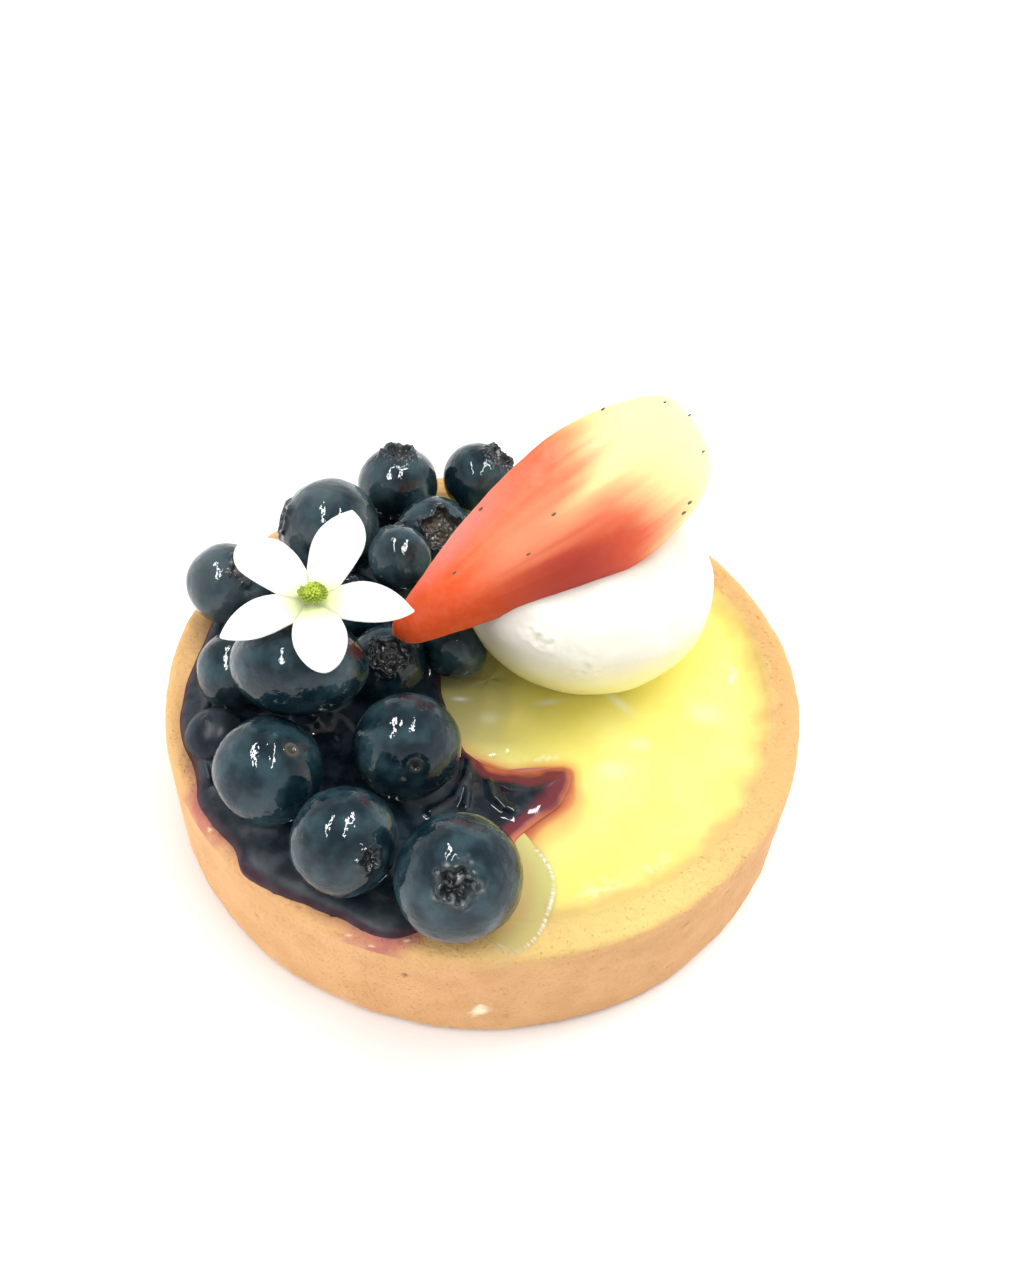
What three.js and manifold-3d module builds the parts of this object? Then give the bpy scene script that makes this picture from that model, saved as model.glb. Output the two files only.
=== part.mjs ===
// Fruit tart: a straight-sided pastry shell filled with custard, topped with blueberries in a
// dark jam, a ball of cream, a wedge of strawberry and a white flower.
// Millimetres, +Z up. The origin is the centre of the flat base, and -Y is the front.

import * as THREE from 'three';
import * as BufferGeometryUtils from 'three/addons/utils/BufferGeometryUtils.js';
import Module from 'manifold-3d';

const wasm = await Module();
wasm.setup();

// Driving dimensions
const TART_RADIUS = 40;
const TART_HEIGHT = 17;
const WALL_THICKNESS = 5.2;
const FLOOR_THICKNESS = 3;
const CUSTARD_TOP = 15.8;
const CUSTARD_WAVE = 0.25;
const GAP = 0.3;
const BERRY_CLEARANCE = 0.4;

const CUSTARD_RADIUS = TART_RADIUS - WALL_THICKNESS - 2 * GAP;
const RESTING_LEVEL = CUSTARD_TOP + GAP;
const RIM_INNER_RADIUS = TART_RADIUS - WALL_THICKNESS + 0.2;

// Pool of jam under the blueberries, as a closed outline of [x, y] seen from above
const JAM_CENTRE = new THREE.Vector2(-14, -7);
const JAM_OUTLINE = [
  [10.3, -13.6], [9.2, -18.8], [4.5, -24], [1, -32], [-8, -38], [-14.5, -36.2], [-21, -33.6],
  [-25.9, -30.8], [-27.7, -27.6], [-31.7, -23.2], [-33.8, -17.6], [-36.7, -11.6], [-37.3, -4],
  [-35.5, 10], [-30.5, 18.5], [-21.6, 28.4], [-15, 30], [-5, 27], [-5.5, 12], [-5.8, -2],
  [-1.8, -12], [4, -14.4],
];
const JAM_DEEP = 2.3;
const JAM_SHALLOW = 0.8;
const JAM_ON_RIM = 0.8;
const JAM_SLOPE_FROM_X = -11;
const JAM_SLOPE_TO_X = -2;

// Blueberries from the lowest to the highest. Each row gives the name, the centre [x, y] seen
// from above, the radius, the height of the berry as a share of its width, the direction in
// which its calyx points, and how far the crown of the calyx stands up.
const BLUEBERRIES = [
  ['blueberry_front', [-2, -34.5], 6.8, 0.92, [0, -0.62, 0.78], 0.2],
  ['blueberry_front_left', [-14.4, -30.3], 6.0, 0.93, [0.5, -0.6, 0.4], 0],
  ['blueberry_left_front', [-24, -21.2], 6.25, 0.95, [-0.75, -0.1, -0.65], 0],
  ['blueberry_centre_front', [-8.9, -16.5], 6.3, 0.88, [-0.25, 0.85, -0.45], 0],
  ['blueberry_by_rim', [-31.6, -14.7], 3.4, 0.85, [-0.2, 0, 1], 0],
  ['blueberry_left', [-30.4, -5.3], 5.05, 0.9, [-0.65, 0.4, -0.64], 0],
  ['blueberry_left_back', [-33.8, 8.2], 5.4, 0.9, [0.5, -0.2, 0.8], 0],
  ['blueberry_back_left', [-22.2, 18.6], 7.0, 0.92, [-0.8, -0.1, 0.3], 0],
  ['blueberry_back', [-14.1, 30], 5.6, 0.92, [0, 0.2, 1], 0.5],
  ['blueberry_back_right', [-2.7, 32.3], 5.35, 0.92, [0.6, 0.1, 0.8], 0.5],
  ['blueberry_open', [-8.3, 20.4], 5.6, 0.85, [0.28, -0.5, 0.8], 0.5],
  ['blueberry_by_cream', [-4.6, 1.4], 4.55, 0.88, [0.6, 0.4, 0.5], 0],
  ['blueberry_hidden', [-18, 7.4], 4.55, 0.88, [0, 0, 1], 0],
  ['blueberry_centre', [-12.5, -3.1], 4.7, 0.85, [0.1, -0.5, 0.85], 0],
  ['blueberry_small_top', [-12.2, 12.1], 4.1, 1.05, [-0.3, 0.6, 0.6], 0],
  ['blueberry_big_top', [-21.7, -10.4], 7.9, 0.75, [0.05, 0.66, 0.75], 0],
];

const CROWN_FOOT_SHARE = 0.5;
const CROWN_TIP_SHARE = 0.4;
const PIT_SHARE = 0.26;
const PIT_DEPTH_SHARE = 0.12;

// Ball of cream, flattened where it sits on the custard and where the strawberry presses on it
const CREAM_CENTRE = new THREE.Vector3(11.7, 8.5, 27);
const CREAM_RADIUS = 16;
const CREAM_DEPTH_BELOW = 14;
const CREAM_HEIGHT_ABOVE = 7.4;
const CREAM_TOP_FULLNESS = 0.92;

// Strawberry wedge: the core line from tip to shoulder, the way its skin faces, half the angle
// of the wedge, and the radius of the skin [distance along the core, radius]
const STRAWBERRY_TIP = new THREE.Vector3(-11.7, -3, 26.6);
const STRAWBERRY_SHOULDER = new THREE.Vector3(23.3, 21.8, 41);
const STRAWBERRY_FACING = new THREE.Vector3(0.37, -0.74, 0.56);
const STRAWBERRY_HALF_ANGLE = THREE.MathUtils.degToRad(48);
const STRAWBERRY_BEND = 2;
const STRAWBERRY_PROFILE = [
  [0, 0], [0.5, 1.9], [1.6, 3.1], [3.2, 4], [10, 7.1], [17.4, 10.1], [25, 12.2], [32, 12.6],
  [39, 10.9], [43.5, 8.3], [45.8, 5.2], [46.8, 0],
];

// Flower: the centre, and for each petal [angle in degrees, length, width, rise of its tip,
// power that moves its widest place from the middle toward the tip, power that is 1 for a
// pointed tip and smaller for a blunt one]
const FLOWER_CENTRE = new THREE.Vector3(-19.9, -7.9, 35.9);
const PETAL_THICKNESS = 0.6;
const PETAL_ARCH = 0.8;
const PETAL_TIP_WIDTH = 0.05;
const PETAL_FOOT_SHARE = 0.45;
const PETALS = [
  [4, 11.2, 6.2, -1, 1.1, 0.9],
  [77, 13.2, 5.9, 2.7, 1.45, 0.7],
  [138, 12.6, 6.4, 1.2, 1.6, 0.6],
  [207, 10.8, 5.6, -1, 1.1, 0.8],
  [285, 10.3, 5.8, 0, 1.2, 0.6],
];
const FLOWER_DISC_RADIUS = 3.2;
const FLOWER_EYE_RADIUS = 1.8;
const FLOWER_EYE_HEIGHT = 1.3;
const FLOWER_EYE_BASE = 1.45;

function toSolid(geometry) {
  const bare = geometry.clone();
  bare.deleteAttribute('normal');
  bare.deleteAttribute('uv');
  const merged = BufferGeometryUtils.mergeVertices(bare, 1e-5);
  return new wasm.Manifold(new wasm.Mesh({
    numProp: 3,
    vertProperties: new Float32Array(merged.attributes.position.array),
    triVerts: new Uint32Array(merged.index.array),
  }));
}

function toGeometry(solid) {
  const mesh = solid.getMesh();
  const geometry = new THREE.BufferGeometry();
  geometry.setAttribute('position', new THREE.BufferAttribute(mesh.vertProperties, 3));
  geometry.setIndex(new THREE.BufferAttribute(mesh.triVerts, 1));
  geometry.computeVertexNormals();
  return geometry;
}

// A closed skin over a row of rings, each a list of points counter-clockwise round the way from
// the start point to the end point, which close it
function loft(start, rings, end) {
  const points = [start, ...rings.flat(), end];
  const around = rings[0].length;
  const last = points.length - 1;
  const index = [];
  for (let i = 0; i < around; i++) {
    const j = (i + 1) % around;
    index.push(0, 1 + j, 1 + i);
    for (let k = 0; k < rings.length - 1; k++) {
      const low = 1 + k * around;
      const high = low + around;
      index.push(low + i, low + j, high + i, low + j, high + j, high + i);
    }
    index.push(last - around + i, last - around + j, last);
  }
  const geometry = new THREE.BufferGeometry().setFromPoints(points);
  geometry.setIndex(index);
  geometry.computeVertexNormals();
  return geometry;
}

// Rings round the Z axis, one for each [radius, height], moved by an optional function
function ringsRound(profile, segments, adjust = (radius, height) => [radius, height]) {
  return profile.map(([radius, height]) => {
    const ring = [];
    for (let i = 0; i < segments; i++) {
      const angle = (2 * Math.PI * i) / segments;
      const [r, z] = adjust(radius, height, angle);
      ring.push(new THREE.Vector3(r * Math.cos(angle), r * Math.sin(angle), z));
    }
    return ring;
  });
}

function smoothStep(from, to, value) {
  return THREE.MathUtils.smoothstep(value, from, to);
}

// Hand-pressed pastry is a little out of round, and its rim rises and falls, on a flat base
function unevenPastry(radius, height, angle) {
  const outOfRound = 0.35 * Math.cos(angle - 3.6) + 0.06 * Math.sin(11 * angle);
  const riseAndFall = 0.09 * Math.sin(4 * angle + 2) + 0.05 * Math.sin(9 * angle);
  const outside = smoothStep(TART_RADIUS - WALL_THICKNESS / 2, TART_RADIUS - 1, radius);
  const upper = smoothStep(4, TART_HEIGHT, height);
  return [radius + outOfRound * outside, height + riseAndFall * upper];
}

// Section of the shell: a rounded foot, a straight side, a softly rounded rim that slopes down
// to the custard inside, and the floor
function crustProfile(grow) {
  const outer = TART_RADIUS + grow;
  const inner = TART_RADIUS - WALL_THICKNESS - GAP - grow;
  const top = TART_HEIGHT + grow;
  const corner = 0.9;
  return [
    [outer - corner, -grow], [outer - 0.3 * corner, 0.3 * corner - grow], [outer, corner],
    [outer, TART_HEIGHT / 2],
    [outer, top - 1.3 * corner], [outer - 0.3 * corner, top - 0.5 * corner],
    [outer - corner, top - 0.1 * corner], [outer - 2.2 * corner, top],
    [inner + 1.3 * corner, top - 0.3 * corner], [inner + 0.5 * corner, top - corner],
    [inner + 0.1 * corner, top - 2 * corner],
    [inner, FLOOR_THICKNESS + grow],
  ];
}

function crustGeometry(grow = 0) {
  const rings = ringsRound(crustProfile(grow), 72, unevenPastry);
  return loft(new THREE.Vector3(0, 0, -grow), rings, new THREE.Vector3(0, 0, FLOOR_THICKNESS + grow));
}

// Custard fills the shell up to just under the rim, with a barely wavy top
function custardGeometry() {
  const bottom = FLOOR_THICKNESS + GAP;
  const profile = [
    [CUSTARD_RADIUS, bottom],
    [CUSTARD_RADIUS, CUSTARD_TOP - 1.2],
    [CUSTARD_RADIUS - 0.2, CUSTARD_TOP - 0.4],
  ];
  for (const radius of [32, 26, 19, 11]) {
    profile.push([radius, CUSTARD_TOP]);
  }
  const wavy = (radius, height, angle) => {
    const wave = 0.5 + 0.5 * Math.sin(3 * angle + radius / 4) * Math.cos(2 * angle - radius / 6);
    return [radius, height === CUSTARD_TOP ? height - CUSTARD_WAVE * wave : height];
  };
  const rings = ringsRound(profile, 48, wavy);
  return loft(new THREE.Vector3(0, 0, bottom), rings, new THREE.Vector3(0, 0, CUSTARD_TOP));
}

// A blueberry is a squashed ball about +Z, with a pit at the calyx inside a five-pointed crown.
// The shares say how far out from the axis something is, as a share of the radius.
function blueberryGeometry(radius, flatness, crown, grow = 0) {
  const outer = radius + grow;
  const surface = (share) => [outer * share, outer * flatness * Math.sqrt(1 - share * share)];
  const profile = [];
  for (const degrees of [22, 48, 74, 98, 122]) {
    const angle = THREE.MathUtils.degToRad(degrees);
    profile.push([outer * Math.sin(angle), -outer * flatness * Math.cos(angle)]);
  }
  profile.push(surface(CROWN_FOOT_SHARE), surface(CROWN_TIP_SHARE));
  const [pitRadius, pitRim] = surface(PIT_SHARE);
  profile.push([pitRadius, pitRim - PIT_DEPTH_SHARE * radius]);
  const crownRing = profile.length - 2;
  const rings = ringsRound(profile, 20);
  rings[crownRing].forEach((point, i) => {
    point.z += crown * (0.5 + 0.5 * Math.cos((5 * 2 * Math.PI * i) / rings[crownRing].length));
  });
  const pitBottom = new THREE.Vector3(0, 0, outer * flatness - PIT_DEPTH_SHARE * radius);
  return loft(new THREE.Vector3(0, 0, -outer * flatness), rings, pitBottom);
}

// Distance from the centre of a squashed ball to its surface in a direction
function reachToward(berry, direction) {
  const along = direction.dot(berry.axis);
  const flat = berry.flatness;
  return (berry.radius * flat) / Math.sqrt(flat * flat * (1 - along * along) + along * along);
}

// Depth of the lowest point of a tilted squashed ball under its centre
function depthBelow(berry) {
  const tilt = berry.axis.z * berry.axis.z;
  return berry.radius * Math.sqrt(1 - tilt + berry.flatness * berry.flatness * tilt);
}

// Whether a berry at a centre is clear of the custard, the rim and the berries below it
function hangsFree(berry, centre, settled) {
  if (centre.z - depthBelow(berry) < RESTING_LEVEL) {
    return false;
  }
  const rim = new THREE.Vector3(centre.x, centre.y, 0);
  rim.setLength(Math.max(rim.length(), RIM_INNER_RADIUS)).setZ(TART_HEIGHT);
  const toRim = rim.sub(centre);
  if (toRim.length() < reachToward(berry, toRim.clone().normalize()) + GAP) {
    return false;
  }
  return settled.every((other) => {
    const apart = other.centre.clone().sub(centre);
    const toward = apart.clone().normalize();
    const back = toward.clone().negate();
    return apart.length() >= reachToward(berry, toward) + reachToward(other, back) + GAP;
  });
}

// Each berry comes down at its own place until it lies on the custard, the rim or other berries
function settleBlueberries() {
  const settled = [];
  const step = 0.05;
  for (const [name, [x, y], radius, flatness, direction, crown] of BLUEBERRIES) {
    const axis = new THREE.Vector3(...direction).normalize();
    const centre = new THREE.Vector3(x, y, 2 * TART_HEIGHT);
    const berry = { name, radius, flatness, axis, crown, centre };
    while (hangsFree(berry, centre, settled)) {
      centre.z -= step;
    }
    centre.z += step;
    settled.push(berry);
  }
  return settled;
}

function placedBlueberry(berry, grow) {
  const geometry = blueberryGeometry(berry.radius, berry.flatness, berry.crown, grow);
  const turn = new THREE.Quaternion().setFromUnitVectors(new THREE.Vector3(0, 0, 1), berry.axis);
  return geometry.applyQuaternion(turn).translate(...berry.centre.toArray());
}

// The jam is shallow where it runs out over the custard and deep between the blueberries. It
// reaches over the rim at the front left, and everything that stands in it is cut out of it.
function jamSolid(berries) {
  const outline = new THREE.CatmullRomCurve3(
    JAM_OUTLINE.map(([x, y]) => new THREE.Vector3(x, y, 0)), true, 'centripetal',
  );
  const edge = outline.getPoints(44).slice(0, -1).reverse();
  const ring = (share, height) => edge.map((point) => {
    const x = JAM_CENTRE.x + (point.x - JAM_CENTRE.x) * share;
    const y = JAM_CENTRE.y + (point.y - JAM_CENTRE.y) * share;
    return new THREE.Vector3(x, y, height(x, y));
  });
  const bottom = RESTING_LEVEL;
  const { lerp } = THREE.MathUtils;
  const onRim = (x, y) => smoothStep(RIM_INNER_RADIUS - 2, RIM_INNER_RADIUS + 1, Math.hypot(x, y));
  const ground = (x, y) => lerp(bottom, TART_HEIGHT + GAP, onRim(x, y));
  const depth = (x, y) => {
    const inside = lerp(JAM_DEEP, JAM_SHALLOW, smoothStep(JAM_SLOPE_FROM_X, JAM_SLOPE_TO_X, x));
    return lerp(inside, JAM_ON_RIM, onRim(x, y));
  };
  const surface = (share) => (x, y) => ground(x, y) + depth(x, y) * Math.sqrt(1 - share ** 6);
  const centre = (height) => new THREE.Vector3(JAM_CENTRE.x, JAM_CENTRE.y, height);
  const rings = [
    ring(1, () => bottom), ring(1, (x, y) => ground(x, y) + 0.1), ring(0.98, surface(0.98)),
    ring(0.93, surface(0.93)), ring(0.8, surface(0.8)), ring(0.45, surface(0.45)),
  ];
  let solid = toSolid(loft(centre(bottom), rings, centre(bottom + JAM_DEEP)));
  solid = solid.subtract(toSolid(crustGeometry(GAP)));
  for (const berry of berries) {
    solid = solid.subtract(toSolid(placedBlueberry(berry, BERRY_CLEARANCE)));
  }
  return solid;
}

// The wedge has its core line at the sharp edge of every section and its skin on the arc. Grown
// all round, its core line moves back so that the two cut faces move out as well.
function strawberryGeometry(grow = 0) {
  const along = STRAWBERRY_SHOULDER.clone().sub(STRAWBERRY_TIP);
  const length = along.length();
  along.normalize();
  const facing = STRAWBERRY_FACING.clone();
  facing.addScaledVector(along, -facing.dot(along)).normalize();
  const across = along.clone().cross(facing);
  const profile = new THREE.SplineCurve(STRAWBERRY_PROFILE.map(([s, r]) => new THREE.Vector2(s, r)));
  const scale = length / STRAWBERRY_PROFILE.at(-1)[0];
  const core = (distance) => {
    const share = distance / length;
    const point = STRAWBERRY_TIP.clone().addScaledVector(along, distance);
    point.addScaledVector(across, -STRAWBERRY_BEND * 4 * share * (1 - share));
    return point.addScaledVector(facing, -grow * Math.SQRT2);
  };
  const rings = [];
  const sections = 22;
  const arcSteps = 12;
  for (let i = 1; i < sections; i++) {
    const at = profile.getPoint(i / sections);
    const radius = at.y + grow * (1 + Math.SQRT2);
    const centre = core(at.x * scale);
    const ring = [centre];
    for (let j = 0; j <= arcSteps; j++) {
      const angle = STRAWBERRY_HALF_ANGLE * ((2 * j) / arcSteps - 1);
      const point = centre.clone().addScaledVector(facing, radius * Math.cos(angle));
      ring.push(point.addScaledVector(across, radius * Math.sin(angle)));
    }
    rings.push(ring);
  }
  const tip = core(-grow);
  tip.addScaledVector(facing, grow);
  const shoulder = core(length + grow);
  shoulder.addScaledVector(facing, grow);
  return loft(tip, rings, shoulder);
}

// A ball with a rounder lower half and a flatter upper half, cut off where it sits
function creamSolid(berries) {
  const profile = [];
  const lowest = -Math.asin((CREAM_CENTRE.z - RESTING_LEVEL) / CREAM_DEPTH_BELOW);
  const steps = 6;
  for (let k = 0; k < steps; k++) {
    const angle = lowest * (1 - k / steps);
    profile.push([CREAM_RADIUS * Math.cos(angle), CREAM_DEPTH_BELOW * Math.sin(angle)]);
  }
  for (let k = 0; k < steps; k++) {
    const angle = (Math.PI / 2) * (k / steps);
    const radius = CREAM_RADIUS * Math.cos(angle) ** CREAM_TOP_FULLNESS;
    profile.push([radius, CREAM_HEIGHT_ABOVE * Math.sin(angle) ** CREAM_TOP_FULLNESS]);
  }
  const base = new THREE.Vector3(0, 0, RESTING_LEVEL - CREAM_CENTRE.z);
  const ball = loft(base, ringsRound(profile, 36), new THREE.Vector3(0, 0, CREAM_HEIGHT_ABOVE));
  ball.translate(...CREAM_CENTRE.toArray());
  let solid = toSolid(ball).subtract(toSolid(strawberryGeometry(GAP)));
  for (const berry of berries) {
    solid = solid.subtract(toSolid(placedBlueberry(berry, BERRY_CLEARANCE)));
  }
  return solid;
}

// A petal lies along +X from the middle of the flower: an oval with a wide foot that rises a
// little and then bends down to its tip, hollow along its middle, with both faces split alike.
// Its rows stand closer together toward the tip.
function petalGeometry(length, width, tipRise, widestPower, tipPower) {
  const steps = 7;
  const halfSteps = 2;
  const face = (lift) => {
    const rows = [];
    for (let i = 0; i <= steps; i++) {
      const share = Math.sin((Math.PI / 2) * (i / steps));
      const foot = PETAL_FOOT_SHARE * (1 - share);
      const oval = Math.max(Math.sin(Math.PI * share ** widestPower), 0) ** tipPower;
      const halfWidth = 0.5 * width * (foot + (1 - foot) * oval);
      const row = [];
      for (let j = -halfSteps; j <= halfSteps; j++) {
        const side = j / halfSteps;
        const arch = PETAL_ARCH * Math.sin(Math.PI * share) * (0.4 + 0.6 * side * side);
        const z = tipRise * share ** 2 + arch + lift;
        row.push(new THREE.Vector3(length * share, (halfWidth + PETAL_TIP_WIDTH) * side, z));
      }
      rows.push(row);
    }
    return rows;
  };
  const bottom = face(0);
  const top = face(PETAL_THICKNESS);
  const rings = bottom.map((row, i) => [...row, ...top[i].slice().reverse()]);
  const middle = (row) => row[halfSteps].clone();
  const start = middle(bottom[0]).lerp(middle(top[0]), 0.5);
  const end = middle(bottom[steps]).lerp(middle(top[steps]), 0.5);
  return loft(start, rings, end);
}

function flowerPetalsSolid() {
  const disc = new THREE.CylinderGeometry(FLOWER_DISC_RADIUS, FLOWER_DISC_RADIUS / 2, 1, 15);
  disc.rotateX(Math.PI / 2).translate(0, 0, PETAL_THICKNESS - 0.5);
  let solid = toSolid(disc);
  for (const [degrees, ...shape] of PETALS) {
    const petal = petalGeometry(...shape);
    petal.rotateZ(THREE.MathUtils.degToRad(degrees));
    solid = solid.add(toSolid(petal));
  }
  return solid;
}

function flowerEyeGeometry() {
  const rings = [];
  for (const degrees of [0, 25, 50, 72]) {
    const angle = THREE.MathUtils.degToRad(degrees);
    rings.push([FLOWER_EYE_RADIUS * Math.cos(angle), FLOWER_EYE_HEIGHT * Math.sin(angle)]);
  }
  return loft(new THREE.Vector3(), ringsRound(rings, 15), new THREE.Vector3(0, 0, FLOWER_EYE_HEIGHT));
}

function addPiece(group, name, geometry, color, roughness) {
  const material = new THREE.MeshStandardMaterial({ color, roughness, metalness: 0 });
  const mesh = new THREE.Mesh(geometry, material);
  mesh.name = name;
  group.add(mesh);
  return mesh;
}

const tart = new THREE.Group();
const berries = settleBlueberries();

addPiece(tart, 'crust', crustGeometry(), 0xe8bd88, 0.75);
addPiece(tart, 'custard', custardGeometry(), 0xfff07a, 0.2);
addPiece(tart, 'jam', toGeometry(jamSolid(berries)), 0x2e1a30, 0.1);
for (const berry of berries) {
  const geometry = blueberryGeometry(berry.radius, berry.flatness, berry.crown);
  const mesh = addPiece(tart, berry.name, geometry, 0x2c3a4a, 0.35);
  mesh.position.copy(berry.centre);
  mesh.quaternion.setFromUnitVectors(new THREE.Vector3(0, 0, 1), berry.axis);
}
addPiece(tart, 'cream', toGeometry(creamSolid(berries)), 0xf7f3e4, 0.5);
addPiece(tart, 'strawberry', strawberryGeometry(), 0xe8553a, 0.35);

const flower = new THREE.Group();
flower.position.copy(FLOWER_CENTRE);
tart.add(flower);
addPiece(flower, 'flower_petals', toGeometry(flowerPetalsSolid()), 0xffffff, 0.6);
const eye = addPiece(flower, 'flower_eye', flowerEyeGeometry(), 0x9fb42a, 0.7);
eye.position.z = FLOWER_EYE_BASE;

export default tart;
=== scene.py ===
"""Looks of the fruit tart: a detailed piece over every solid, with its material, light and camera.

Shapes are worked out in millimetres and turned into metres when a mesh is made. The origin is
the centre of the flat base, +Z is up and -Y is the front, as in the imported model.
"""

import math

import bpy
import numpy as np
from mathutils import Matrix, Vector, noise


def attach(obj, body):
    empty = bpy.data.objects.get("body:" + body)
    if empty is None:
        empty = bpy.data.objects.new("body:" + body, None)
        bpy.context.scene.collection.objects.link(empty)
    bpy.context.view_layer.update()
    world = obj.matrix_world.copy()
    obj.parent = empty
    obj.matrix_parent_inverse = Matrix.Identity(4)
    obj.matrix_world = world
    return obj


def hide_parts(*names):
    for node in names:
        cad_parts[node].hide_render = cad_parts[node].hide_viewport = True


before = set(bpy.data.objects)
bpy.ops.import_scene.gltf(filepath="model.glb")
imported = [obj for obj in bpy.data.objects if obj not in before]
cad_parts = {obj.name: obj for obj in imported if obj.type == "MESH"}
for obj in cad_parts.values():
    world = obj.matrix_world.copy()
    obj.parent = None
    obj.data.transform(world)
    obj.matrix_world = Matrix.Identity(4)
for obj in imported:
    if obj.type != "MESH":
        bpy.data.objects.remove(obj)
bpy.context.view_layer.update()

MM = 0.001

# Sizes shared with the solids
TART_RADIUS = 40
TART_HEIGHT = 17
WALL_THICKNESS = 5.2
FLOOR_THICKNESS = 3
CUSTARD_TOP = 15.8
CUSTARD_WAVE = 0.25
GAP = 0.3
CUSTARD_BOTTOM = FLOOR_THICKNESS + GAP
RESTING_LEVEL = CUSTARD_TOP + GAP
RIM_INNER_RADIUS = TART_RADIUS - WALL_THICKNESS + 0.2

JAM_OUTLINE = [
    (10.3, -13.6), (9.2, -18.8), (4.5, -24), (1, -32), (-8, -38), (-14.5, -36.2), (-21, -33.6),
    (-25.9, -30.8), (-27.7, -27.6), (-31.7, -23.2), (-33.8, -17.6), (-36.7, -11.6), (-37.3, -4),
    (-35.5, 10), (-30.5, 18.5), (-21.6, 28.4), (-15, 30), (-5, 27), (-5.5, 12), (-5.8, -2),
    (-1.8, -12), (4, -14.4),
]
JAM_DEEP = 2.3
JAM_SHALLOW = 0.8
JAM_ON_RIM = 0.8

# Blueberries: name, settled centre, radius, height as a share of the width, direction of the
# calyx, height of its crown, width of the crown as a share of the berry, and depth of its pit
BLUEBERRIES = [
    ("front", (-2, -34.5, 23.8), 6.8, 0.92, (0, -0.62, 0.78), 0.45, 0.28, 0.15),
    ("front_left", (-14.4, -30.3, 23.1), 6.0, 0.93, (0.5, -0.6, 0.4), 0.12, 0.2, 0.07),
    ("left_front", (-24, -21.2, 22.6), 6.25, 0.95, (-0.52, 0.1, -0.84), 0.2, 0.3, 0.1),
    ("centre_front", (-8.9, -16.5, 22.3), 6.3, 0.88, (-0.25, 0.85, -0.45), 0.2, 0.3, 0.1),
    ("by_rim", (-31.6, -14.7, 20.25), 3.4, 0.85, (-0.2, 0, 1), 0, 0.1, 0),
    ("left", (-30.4, -5.3, 20.95), 5.05, 0.9, (-0.65, 0.4, -0.64), 0.2, 0.3, 0.1),
    ("left_back", (-33.8, 8.2, 22.3), 5.4, 0.9, (0.5, -0.2, 0.8), 0.2, 0.34, 0.1),
    ("back_left", (-22.2, 18.6, 23.05), 7.0, 0.92, (-0.8, -0.1, 0.3), 0.2, 0.3, 0.1),
    ("back", (-14.1, 30, 22.25), 5.6, 0.92, (0, 0.2, 1), 0.55, 0.4, 0.14),
    ("back_right", (-2.7, 32.3, 21.8), 5.35, 0.92, (0.6, 0.1, 0.8), 0.5, 0.42, 0.14),
    ("open", (-8.3, 20.4, 21.2), 5.6, 0.85, (0.28, -0.5, 0.8), 0.35, 0.5, 0.26),
    ("by_cream", (-4.6, 1.4, 20.5), 4.55, 0.88, (0.6, 0.4, 0.5), 0.2, 0.3, 0.1),
    ("hidden", (-18, 7.4, 20.15), 4.55, 0.88, (0, 0, 1), 0.2, 0.3, 0.1),
    ("centre", (-12.5, -3.1, 21.65), 4.7, 0.85, (0.1, -0.5, 0.85), 0.4, 0.46, 0.12),
    ("small_top", (-12.2, 12.1, 24.85), 4.1, 1.05, (-0.3, 0.6, 0.6), 0.2, 0.3, 0.1),
    ("big_top", (-21.7, -10.4, 28.6), 7.9, 0.75, (0.05, 0.66, 0.75), 0.2, 0.3, 0.1),
]
# The small berry by the rim is wholly coated with jam
COATED = "by_rim"
COATED_CENTRE = next(centre for name, centre, *_ in BLUEBERRIES if name == COATED)

CREAM_CENTRE = np.array((11.7, 8.5, 27))
CREAM_RADIUS = 16
CREAM_DEPTH_BELOW = 14
CREAM_HEIGHT_ABOVE = 7.4
CREAM_TOP_FULLNESS = 0.92

STRAWBERRY_TIP = np.array((-11.7, -3, 26.6))
STRAWBERRY_SHOULDER = np.array((23.3, 21.8, 41))
STRAWBERRY_FACING = np.array((0.37, -0.74, 0.56))
STRAWBERRY_HALF_ANGLE = math.radians(48)
STRAWBERRY_BEND = 2
STRAWBERRY_PROFILE = [
    (0, 0), (0.5, 1.9), (1.6, 3.1), (3.2, 4), (10, 7.1), (17.4, 10.1), (25, 12.2), (32, 12.6),
    (39, 10.9), (43.5, 8.3), (45.8, 5.2), (46.8, 0),
]

FLOWER_CENTRE = np.array((-19.9, -7.9, 35.9))
PETAL_THICKNESS = 0.6
PETAL_ARCH = 0.8
PETAL_TIP_WIDTH = 0.05
PETAL_FOOT_SHARE = 0.45
# Petals: degrees round, length, width, rise of the tip and the two powers of the outline
PETALS = [
    (4, 11.2, 6.2, -1, 1.1, 0.9), (77, 13.2, 5.9, 2.7, 1.45, 0.7), (138, 12.6, 6.4, 1.2, 1.6, 0.6),
    (207, 10.8, 5.6, -1, 1.1, 0.8), (285, 10.3, 5.8, 0, 1.2, 0.6),
]
FLOWER_EYE_RADIUS = 1.8
FLOWER_EYE_HEIGHT = 1.3
FLOWER_EYE_BASE = 1.45

# Points of the mesh round the shell and round the custard
RIM_STEPS = 480


# Numbers and noise


def smooth_step(low, high, value):
    """0 below low, 1 above high and a smooth rise between, or the reverse when low > high."""
    share = np.clip((value - low) / (high - low), 0, 1)
    return share * share * (3 - 2 * share)


def bell(distance, width):
    """1 at no distance, with a smooth fall to almost nothing at twice the width."""
    return np.exp(-((distance / width) ** 2))


def lumps(points, size, seed=0):
    """Smooth noise of about -1 to 1 at each point, with lumps of about that size."""
    shift = Vector((seed * 17.3, seed * 5.1, seed * 9.7))
    values = [noise.noise(Vector(p) / size + shift) for p in points.reshape(-1, 3).tolist()]
    return np.array(values).reshape(points.shape[:-1]) * 1.6


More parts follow.
